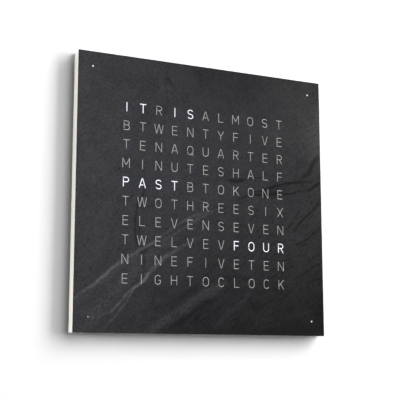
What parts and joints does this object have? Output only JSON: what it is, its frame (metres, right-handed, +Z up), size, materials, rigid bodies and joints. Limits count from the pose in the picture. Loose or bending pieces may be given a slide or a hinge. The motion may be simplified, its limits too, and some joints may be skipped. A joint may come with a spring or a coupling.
{
  "type": "word clock",
  "caption": "Square wall clock with a slate front over a letter grid lit from behind, minute dots in the corners and buttons in one edge.",
  "frame": {"origin": "centre of the wall face", "axes": "+X to the viewer's right, +Y into the wall, +Z up"},
  "size_m": [0.451, 0.0205, 0.45],
  "materials": {
    "slate": "split slate veneer, fine matt grain with a faint sheen",
    "opal_acrylic": "opal white acrylic, painted ivory on its edges",
    "ivory_lacquer": "milled board in satin ivory lacquer",
    "back_panel": "sheet panel with fine black powder coat",
    "zinc_steel": "zinc plated steel",
    "screw_steel": "zinc plated screws with cross recess",
    "magnet_nickel": "nickel plated magnets",
    "grid_plastic": "matt white moulded plastic",
    "circuit_board": "green solder mask",
    "led_package": "white LED packages with yellow phosphor",
    "chip_epoxy": "black chip epoxy",
    "plug_plastic": "off-white connector plastic",
    "black_plastic": "black moulded plastic",
    "contact_brass": "tinned brass contact",
    "can_metal": "drawn metal can",
    "cell_steel": "nickel plated cell",
    "ferrite": "sintered ferrite",
    "copper_coil": "enamelled copper winding",
    "cable_jacket": "soft grey cable jacket",
    "ribbon_film": "white polyester ribbon",
    "clear_acrylic": "clear acrylic light guide",
    "button_metal": "turned satin metal"
  },
  "bodies": {
    "housing": {"antenna_clips": "black_plastic", "antenna_coil": "copper_coil", "back_cover": "back_panel", "back_cover_screws": "screw_steel", "backup_cell": "cell_steel", "cable_plugs": "plug_plastic", "cell_holder": "black_plastic", "clock_chip": "chip_epoxy", "clock_crystal": "can_metal", "control_board": "circuit_board", "control_board_screws": "screw_steel", "control_connector": "plug_plastic", "dc_jack": "black_plastic", "dc_jack_pin": "contact_brass", "ferrite_rod": "ferrite", "hanger_plate_left": "zinc_steel", "hanger_plate_right": "zinc_steel", "hanger_screws": "screw_steel", "housing": "ivory_lacquer", "housing_magnets": "magnet_nickel", "key_board": "circuit_board", "key_board_screws": "screw_steel", "key_cable": "cable_jacket", "key_plug": "plug_plastic", "key_switches": "black_plastic", "led_board": "circuit_board", "led_board_connector": "plug_plastic", "led_board_screws": "screw_steel", "led_drivers": "chip_epoxy", "letter_leds": "led_package", "light_grid": "grid_plastic", "light_sensor": "chip_epoxy", "microcontroller": "chip_epoxy", "minute_board_screws": "screw_steel", "minute_boards": "circuit_board", "minute_cables": "cable_jacket", "minute_leds": "led_package", "minute_light_guides": "clear_acrylic", "minute_plugs": "plug_plastic", "power_capacitor": "can_metal", "radio_board": "circuit_board", "radio_board_screws": "screw_steel", "radio_cable": "cable_jacket", "radio_chip": "chip_epoxy", "radio_plug": "plug_plastic", "ribbon_cable": "ribbon_film", "voltage_regulator": "chip_epoxy"},
    "front_cover": {"slate_face": "slate", "cover_carrier": "opal_acrylic", "cover_discs": "zinc_steel"},
    "button_hour": {"button_hour": "button_metal", "button_hour_plunger": "black_plastic"},
    "button_minute": {"button_minute": "button_metal", "button_minute_plunger": "black_plastic"},
    "button_light": {"button_light": "button_metal", "button_light_plunger": "black_plastic"},
    "button_mode": {"button_mode": "button_metal", "button_mode_plunger": "black_plastic"}
  },
  "joints": [
    {"name": "cover_pull", "type": "slide", "parent": "housing", "child": "front_cover", "axis": [0, -1, 0], "range_m": [0, 0.05]},
    {"name": "button_hour_push", "type": "slide", "parent": "housing", "child": "button_hour", "axis": [-1, 0, 0], "range_m": [0, 0.0006], "stiffness_N_per_m": 800, "springref_m": -0.0004},
    {"name": "button_minute_push", "type": "slide", "parent": "housing", "child": "button_minute", "axis": [-1, 0, 0], "range_m": [0, 0.0006], "stiffness_N_per_m": 800, "springref_m": -0.0004},
    {"name": "button_light_push", "type": "slide", "parent": "housing", "child": "button_light", "axis": [-1, 0, 0], "range_m": [0, 0.0006], "stiffness_N_per_m": 800, "springref_m": -0.0004},
    {"name": "button_mode_push", "type": "slide", "parent": "housing", "child": "button_mode", "axis": [-1, 0, 0], "range_m": [0, 0.0006], "stiffness_N_per_m": 800, "springref_m": -0.0004}
  ]
}
